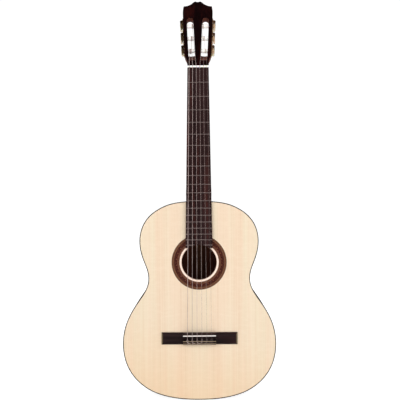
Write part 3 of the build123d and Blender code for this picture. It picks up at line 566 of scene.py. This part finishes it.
def gilt(name, low, high, *, metal, rough=0.34, grime=0.5,
         grime_color=(96, 62, 30), near=None, rim=None):
    """Gold plate.  near is a list of (point, axis) lines; within a few
    millimetres of them the colour is painted dark, as painted shade and dark
    reflection round the worms; rim is the colour painted on edges turned to
    the headstock's front, as a painted dark reflection."""
    mat = Shader(name)
    smudge = mat.noise(mat.obj, scale=90.0, detail=5.0, rough=0.6)
    dirt = mat.remap(mat.noise(mat.obj, scale=420.0), (0.55, 0.72),
                     to=(0.0, grime))
    brush = mat.noise(mat.stretched(5200, 900, 900), detail=2.0)
    color = mat.mix(dirt, mat.two_tone(smudge, low, high),
                    srgb(*grime_color))
    if near:
        dark = None
        for point, axis in near:
            # distance from the line
            offset = mat.node("VectorMath", {"operation": "SUBTRACT"},
                              i0=mat.obj, i1=tuple(point)).outputs[0]
            cross = mat.node("VectorMath", {"operation": "CROSS_PRODUCT"},
                             i0=offset, i1=tuple(axis)).outputs[0]
            distance = mat.node("VectorMath", {"operation": "LENGTH"},
                                i0=cross).outputs["Value"]
            mask = mat.remap(distance, (0.0036, 0.0056), to=(1.0, 0.0))
            dark = mask if dark is None else mat.maximum(dark, mask)
        # painted shade and dark reflection: the dark colour laid round the worms
        mottle = mat.mix(smudge, srgb(34, 20, 10), srgb(74, 52, 32))
        color = mat.mix(mat.mul(dark, 0.94), color, mottle)
    if rim:
        # the sheared edge of the plate, turned to the front, is painted darker,
        # a painted dark reflection; the headstock's front faces along
        # (0, -0.966, 0.259)
        normal = mat.face_normal()
        front = mat.sub(mat.mul(normal[2], 0.259), mat.mul(normal[1], 0.966))
        color = mat.mix(mat.remap(front, (0.4, 0.8), to=(0.0, 0.92)), color,
                        srgb(*rim))
    mat.set(color=color, metal=metal, spec=0.4,
            rough=mat.remap(smudge, (0.3, 0.7),
                            to=(rough - 0.08, rough + 0.14)),
            normal=mat.bump(brush, strength=0.06, distance=0.0001))
    return mat


looks["fret"] = fret_wire()
# the bass plate is a darker, shaded copy and the treble plate a paler, lit copy: painted shade
# and painted highlight
for side, sign, metal, rim in (("bass", -1, 0.75, (70, 44, 26)),
                               ("treble", 1, 0.45, (112, 74, 52))):
    knob_lines = [(Vector(joint["pos_m"]), Vector(joint["axis"]).normalized())
                  for name, joint in joints.items()
                  if name.startswith("tuner_knob")
                  and joint["pos_m"][0] * sign > 0]
    looks["plate_" + side] = gilt(
        "gilt_plate_" + side, (206, 166, 106), (242, 214, 164), rough=0.28,
        metal=metal, near=knob_lines, rim=rim)
# the bass side's gears are a darker, shaded copy with more dirt, and the treble side's a paler,
# lit copy: painted shade and painted highlight
looks["gear_bass"] = gilt(
    "gilt_gear_bass_shaded", (78, 60, 38), (128, 104, 72), metal=0.45, grime=0.65,
    grime_color=(44, 30, 18))
looks["gear_treble"] = gilt(
    "gilt_gear_treble_lit", (200, 166, 130), (232, 204, 172), metal=0.3,
    grime_color=(120, 84, 56))
# the worms are coloured dark, a painted dark reflection on their gold plate
looks["worm"] = gilt("worm_dark_reflection", (46, 30, 18), (92, 70, 48), metal=0.6,
                     grime_color=(26, 16, 10))
looks["screws"] = gilt("gilt_screws", (190, 150, 84), (228, 194, 130),
                       rough=0.28, metal=0.8)


# ----------------------------------------------------- buttons and rollers
def pearl_button():
    mat = Shader("pearl_button")
    cells = mat.node("TexVoronoi", {"feature": "SMOOTH_F1"}, Vector=mat.obj,
                     Scale=210.0, Smoothness=0.7).outputs["Distance"]
    swirl = mat.noise(mat.obj, scale=120.0, detail=4.0, rough=0.6,
                      distort=1.6)
    tone = mat.add(mat.mul(cells, 0.6), mat.mul(swirl, 0.6))
    color = mat.ramp(tone, (0.25, (255, 251, 238)), (0.5, (240, 228, 206)),
                     (0.7, (222, 205, 178)), (0.9, (250, 244, 230)))
    mat.set(color=color, rough=0.22, coat=0.8, coat_rough=0.05, sss=0.12,
            sss_scale=0.003, sheen=0.15,
            normal=mat.bump(swirl, strength=0.05, distance=0.0004))
    return mat


def roller_plastic():
    mat = Shader("roller_plastic")
    cloud = mat.noise(mat.obj, scale=150.0, detail=4.0)
    turning = mat.noise(mat.stretched(3800, 120, 120), detail=2.0)
    color = mat.two_tone(cloud, (250, 245, 238), (255, 253, 250))
    # the roller gives off a glow of its own, painted light that makes it look brighter
    mat.set(color=color, rough=mat.remap(cloud, (0.3, 0.7), to=(0.28, 0.4)),
            sss=0.08, sss_scale=0.002, coat=0.2,
            normal=mat.bump(turning, strength=0.10, distance=0.0001),
            glow_color=color, glow=0.16)
    return mat


looks["pearl"] = pearl_button()
looks["roller"] = roller_plastic()


# --------------------------------------------------------- string materials
def nylon(name, clear):
    """Clear drawn nylon: part of what lies behind it shows through."""
    mat = Shader(name)
    streak = mat.noise(mat.stretched(300, 300, 18))
    color = mat.two_tone(streak, (196, 174, 168), (224, 202, 196))
    # the glow is painted light the string gives off of its own; its lit colour is darkened to
    # make room for it
    mat.set(color=mat.mix(0.62, color, srgb(0, 0, 0)),
            rough=mat.remap(streak, (0.3, 0.7), to=(0.42, 0.56)), coat=0.0,
            spec=0.15, glow_color=color, glow=0.34,
            normal=mat.bump(streak, strength=0.05, distance=0.0001))
    through = mat.node("BsdfTransparent", Color=(0.97, 0.96, 0.95, 1.0))
    mat.put(mat.surface, mat.mix_shader(clear, mat.bsdf.outputs[0],
                                        through.outputs[0]))
    return mat


def wound(name, lay, axis):
    """Silver-plated wire laid round a core that runs along axis."""
    mat = Shader(name)
    phase = mat.mul(mat.split(mat.obj)[axis], 2 * math.pi / lay)
    wire = mat.add(mat.mul(mat.math("SINE", phase), 0.5), 0.5)
    mottle = mat.noise(mat.obj, scale=45.0, detail=4.0)
    color = mat.two_tone(mottle, (184, 162, 158), (222, 202, 197))
    # painted shade: the grooves between the turns of wire are darkened
    color = mat.mix(mat.mul(mat.sub(1.0, wire), 0.3), color,
                    srgb(104, 84, 76))
    mat.set(color=color, metal=0.35,
            rough=mat.remap(mottle, (0.3, 0.7), to=(0.28, 0.42)),
            normal=mat.bump(wire, strength=0.25, distance=0.0001))
    return mat


# the string itself, and the same string where it is wrapped on its roller
for number, clear in NYLON_CLEAR.items():
    shader = nylon("nylon_string_%d" % number, clear)
    looks["string%d" % number] = looks["wrap%d" % number] = shader
for number, lay in WOUND_LAY.items():
    looks["string%d" % number] = wound("wound_string_%d" % number, lay,
                                       axis=2)
for number, lay in WOUND_LAY.items():
    looks["wrap%d" % number] = wound("wound_wrap_%d" % number, lay, axis=0)

# -------------------------------------------------------- looks of the parts
PART_LOOKS = {
    "soundboard": "top", "rosette_rings": "rings", "rosette_mosaic": "mosaic",
    "fan_braces": "raw_spruce", "harmonic_bars": "raw_spruce_x",
    "back_braces": "raw_spruce_x", "back_centre_strip": "dark_strip",
    "bridge_patch": "raw_spruce_x", "back_plate": "back",
    "bass_side": "side", "treble_side": "side", "tail_block": "blocks",
    "neck_block": "blocks", "front_linings": "blocks",
    "back_linings": "blocks", "front_binding": "binding",
    "back_binding": "binding", "end_graft": "graft", "heel_cap": "veneer",
    "neck": "neck", "headstock_veneer": "veneer", "fingerboard": "board",
    "frets": "fret", "nut": "bone", "saddle": "saddle",
    "tie_block_trim": "strip", "bridge": "bridge",
    "tuner_plate_bass": "plate_bass", "tuner_plate_treble": "plate_treble",
    "tuner_plate_screws": "screws", "string_6_low_e": "string6",
    "string_5_a": "string5", "string_4_d": "string4",
    "string_3_g": "string3", "string_2_b": "string2",
    "string_1_high_e": "string1",
}
for i in range(1, 7):
    PART_LOOKS["tuner_button_%d" % i] = "pearl"
    PART_LOOKS["tuner_worm_%d" % i] = "worm"
    PART_LOOKS["tuner_gear_%d" % i] = "gear_bass" if i > 3 else "gear_treble"
    PART_LOOKS["tuner_roller_%d" % i] = "roller"
for name, part in nodes.items():
    part.data.materials.clear()
    part.data.materials.append(looks[PART_LOOKS[name]].material)

# small worn edges on the parts that are handled or catch the light;
# widths in millimetres
EDGE_WIDTHS = {"bridge": 0.35, "nut": 0.2, "headstock_veneer": 0.25,
               "heel_cap": 0.3, "fingerboard": 0.3}
for name, width in EDGE_WIDTHS.items():
    bevel = nodes[name].modifiers.new("edge", "BEVEL")
    bevel.width = width * MM
    bevel.segments = 2
    bevel.limit_method = "ANGLE"
    bevel.angle_limit = math.radians(40)
    bevel.harden_normals = False


# ------------------------------------------------------- knots and wrappings
def object_from(name, mesh):
    """A new scene object made from a bmesh, which is freed."""
    data = bpy.data.meshes.new(name)
    mesh.to_mesh(data)
    mesh.free()
    made = bpy.data.objects.new(name, data)
    bpy.context.scene.collection.objects.link(made)
    return made


def spline_points(points, steps):
    """Catmull-Rom curve through points, with steps points per span."""
    ctrl = [Vector(point) for point in points]
    ctrl = [ctrl[0] * 2 - ctrl[1]] + ctrl + [ctrl[-1] * 2 - ctrl[-2]]
    out = []
    for i in range(1, len(ctrl) - 2):
        before, start, end, after = ctrl[i - 1:i + 3]
        for k in range(steps):
            t = k / steps
            out.append(0.5 * ((2 * start) + (end - before) * t
                              + (2 * before - 5 * start + 4 * end - after)
                              * t * t
                              + (3 * start - before - 3 * end + after)
                              * t ** 3))
    out.append(ctrl[-2])
    return out


def add_string(name, points, number, look, body, sides):
    """String number's round wire along points, closed with blunt tips."""
    radius = STRINGS[number][0] * MM
    mesh = bmesh.new()
    last = len(points) - 1
    tangents = [(points[min(i + 1, last)] - points[max(i - 1, 0)])
                .normalized() for i in range(len(points))]
    up = Vector((0, 0, 1)) if abs(tangents[0].z) < 0.9 else Vector((1, 0, 0))
    normal = tangents[0].cross(up).normalized()
    rings = []
    for point, tangent in zip(points, tangents):
        # carry the normal along so that the tube does not twist
        normal = (normal - tangent * normal.dot(tangent)).normalized()
        binormal = tangent.cross(normal)
        ring = []
        for k in range(sides):
            angle = 2 * math.pi * k / sides
            ring.append(mesh.verts.new(
                point + (normal * math.cos(angle)
                         + binormal * math.sin(angle)) * radius))
        rings.append(ring)
    for ring, following in zip(rings, rings[1:]):
        for k in range(sides):
            j = (k + 1) % sides
            mesh.faces.new((ring[k], ring[j], following[j], following[k]))
    for end, outward, flip in ((0, -tangents[0], True),
                               (-1, tangents[-1], False)):
        ring = rings[end]
        tip = mesh.verts.new(points[end] + outward * radius * 0.55)
        for k in range(sides):
            j = (k + 1) % sides
            mesh.faces.new((ring[j], ring[k], tip) if flip
                           else (ring[k], ring[j], tip))
    bmesh.ops.recalc_face_normals(mesh, faces=mesh.faces)
    made = object_from(name, mesh)
    for face in made.data.polygons:
        face.use_smooth = True
    made.data.materials.append(looks[look].material)
    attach(made, body)


def add_tie(number):
    """The string's knot round the tie block."""
    radius = STRINGS[number][0]
    middle = (3.5 - number) * STRING_PITCH
    inward = 1.0 if number > 3 else -1.0
    top = TIE_BLOCK_Y - radius      # centre of a string lying on the block
    over = top - 2 * radius         # centre of a string crossing that one
    # millimetres: x towards the guitar's middle, y from the soundboard's
    # face (minus is forward), z from the tail
    path = (
        (0.0, -5.2, 138.0), (0.0, -5.2, 136.2), (0.1, -6.3, 134.9),
        (0.4, -8.2, 135.6), (0.9, top - 0.5, 137.6),
        (1.3, top - 0.05, 140.5), (1.7, top - 0.05, 143.5),
        (1.9, top - 0.25, 145.8), (1.6, -7.9, 147.4), (0.5, -5.4, 148.6),
        (-1.0, -5.9, 148.6), (-1.5, -8.3, 147.3), (-1.2, top - 0.35, 145.6),
        (-0.2, over - 0.1, 143.6), (1.6, over - 0.15, 141.9),
        (3.2, top - 0.5, 141.0), (5.0, top, 140.4), (6.8, top, 140.0),
    )
    points = [Vector(((middle + inward * x) * MM, Y_TOP + y * MM, z * MM))
              for x, y, z in path]
    add_string("string_tie_%d" % number, spline_points(points, TIE_STEPS),
               number, "string%d" % number, "guitar", sides=12)


# (shift along the roller in string radii, further angle in radians, lift in
# string radii) of the end that crosses back over the turns and stands off
WRAP_END = ((0.6, 0.5, 0.9), (1.8, 1.1, 1.9), (3.2, 1.7, 2.3),
            (4.4, 2.3, 2.2), (5.2, 2.9, 1.2))


def add_wrap(number):
    """The turns of string on its roller."""
    radius, arrive, turns = STRINGS[number]
    turn_joint = joints["roller_turn_%d" % number]
    centre = Vector(turn_joint["pos_m"])
    axis = Vector(turn_joint["axis"]).normalized()
    cos_way = Vector(joints["tuner_knob_%d" % number]["axis"]).normalized()
    sin_way = cos_way.cross(axis)
    side = 1.0 if centre.x > 0 else -1.0
    start = (side * arrive * MM - centre.x) / axis.x    # along the axis

    def place(shift, angle, lift=0.0):
        """shift is in string radii along the axis, lift off the roller."""
        reach = (ROLLER_RADIUS + radius + WRAP_GAP + lift * radius) * MM
        return (centre + axis * (start + side * shift * radius * MM)
                + sin_way * (reach * math.sin(angle))
                + cos_way * (reach * math.cos(angle)))

    steps = int(turns * WRAP_STEPS)
    points = []
    for i in range(steps + 1):
        done = turns * i / steps
        points.append(place(-done * WRAP_PITCH,
                            2 * math.pi * done + WRAP_START))
    final = 2 * math.pi * turns + WRAP_START
    for shift, angle, lift in WRAP_END:
        points.append(place(shift - turns * WRAP_PITCH, final + angle, lift))
    add_string("string_wrap_%d" % number, points, number,
               "wrap%d" % number, "roller_%d" % number, sides=10)


for number in STRINGS:
    add_tie(number)
for number in STRINGS:
    add_wrap(number)


# ----------------------------------------------------------------- staging
FLOOR_RADIUS = 14.0
FLOOR_SIDES = 64
FLOOR_Z = -0.0002       # just below the guitar


def floor_look():
    mat = Shader("studio_floor")
    path = mat.node("LightPath").outputs
    camera_ray = path["Is Camera Ray"]
    mat.set(color=(0.92, 0.92, 0.92, 1.0), rough=0.9, spec=0.0,
            glow_color=(1, 1, 1, 1),
            glow=mat.add(mat.mul(camera_ray, FLOOR_GLOW - FLOOR_BOUNCE),
                         FLOOR_BOUNCE))
    # the floor is bright to look at and as a soft bounce, but is flagged off
    # from the polished faces, as black cards do in a studio
    card = mat.node("Emission", Color=(1, 1, 1, 1), Strength=FLOOR_SHINE)
    both = mat.mix_shader(path["Is Glossy Ray"], mat.bsdf.outputs[0],
                          card.outputs[0])
    # seen directly it is over-lit paper, so the shadow at its foot is faint
    paper = mat.node("Emission", Color=(1, 1, 1, 1), Strength=FLOOR_PAPER)
    mat.put(mat.surface, mat.mix_shader(mat.mul(camera_ray, FLOOR_PAPER_MIX),
                                        both, paper.outputs[0]))
    return mat


def add_floor():
    mesh = bmesh.new()
    angles = [2 * math.pi * i / FLOOR_SIDES for i in range(FLOOR_SIDES)]
    mesh.faces.new([mesh.verts.new((FLOOR_RADIUS * math.cos(angle),
                                    FLOOR_RADIUS * math.sin(angle), FLOOR_Z))
                    for angle in angles])
    floor = object_from("studio_floor", mesh)
    floor.data.materials.append(floor_look().material)


def add_light(name, place, aim, size, watts):
    """A soft rectangular light that stays out of sight and reflections."""
    light = bpy.data.lights.new(name, "AREA")
    light.shape = "RECTANGLE"
    light.size, light.size_y = size
    light.energy = watts
    lamp = bpy.data.objects.new(name, light)
    bpy.context.scene.collection.objects.link(lamp)
    lamp.location = place
    lamp.rotation_mode = "QUATERNION"
    lamp.rotation_quaternion = (Vector(aim) - Vector(place)).to_track_quat(
        "-Z", "Y")
    lamp.visible_camera = False
    lamp.visible_glossy = False


def build_world():
    """Reflections see wide soft boxes to the sides and overhead, and a dark
    room in front of and behind the guitar."""
    world = bpy.data.worlds.new("studio")
    bpy.context.scene.world = world
    world.use_nodes = True
    world.node_tree.nodes.clear()
    sky = Graph(world.node_tree)

    def soft_box(value, start, end):
        return sky.node("MapRange", {"interpolation_type": "SMOOTHSTEP"},
                        Value=value, From_Min=start, From_Max=end).outputs[0]

    def background(strength):
        return sky.node("Background", Color=(1, 1, 1, 1),
                        Strength=strength).outputs[0]

    x, y, z = sky.split(sky.node("TexCoord").outputs["Generated"])
    lit = sky.maximum(soft_box(sky.absolute(x), start=0.30, end=0.80),
                      soft_box(z, start=0.80, end=0.98))
    shine = sky.add(sky.mul(lit, SOFT_BOX), REFLECT_DARK)
    path = sky.node("LightPath").outputs
    unseen = sky.mix_shader(path["Is Glossy Ray"], background(DOME),
                            background(shine))
    sky.node("OutputWorld",
             Surface=sky.mix_shader(path["Is Camera Ray"], unseen,
                                    background(BACKDROP)))


def add_camera():
    """Square on to the front, with a slight roll."""
    data = bpy.data.cameras.new("camera")
    data.sensor_width = 36.0
    data.lens = 47.8
    data.clip_start, data.clip_end = 0.05, 60.0
    camera = bpy.data.objects.new("camera", data)
    bpy.context.scene.collection.objects.link(camera)
    camera.location = (0.0030, Y_TOP - 1.300, 0.4889)
    camera.rotation_mode = "QUATERNION"
    roll = Matrix.Rotation(math.radians(0.33), 4, "Y")
    upright = Matrix.Rotation(math.radians(90), 4, "X")
    camera.rotation_quaternion = (roll @ upright).to_quaternion()
    bpy.context.scene.camera = camera


add_floor()
add_light("key", place=(-1.5, -2.2, 2.3), aim=(0, 0, 0.5), size=(1.4, 1.4),
          watts=35.0)
add_light("fill", place=(1.9, -2.0, 1.2), aim=(0, 0, 0.45), size=(1.6, 1.6),
          watts=22.5)
add_light("rim", place=(0.6, 2.2, 2.0), aim=(0, 0, 0.5), size=(1.6, 1.2),
          watts=26.0)
build_world()

view = bpy.context.scene.view_settings
view.view_transform = "Standard"
view.look = "None"
view.exposure = 0.0
view.gamma = 1.0

add_camera()
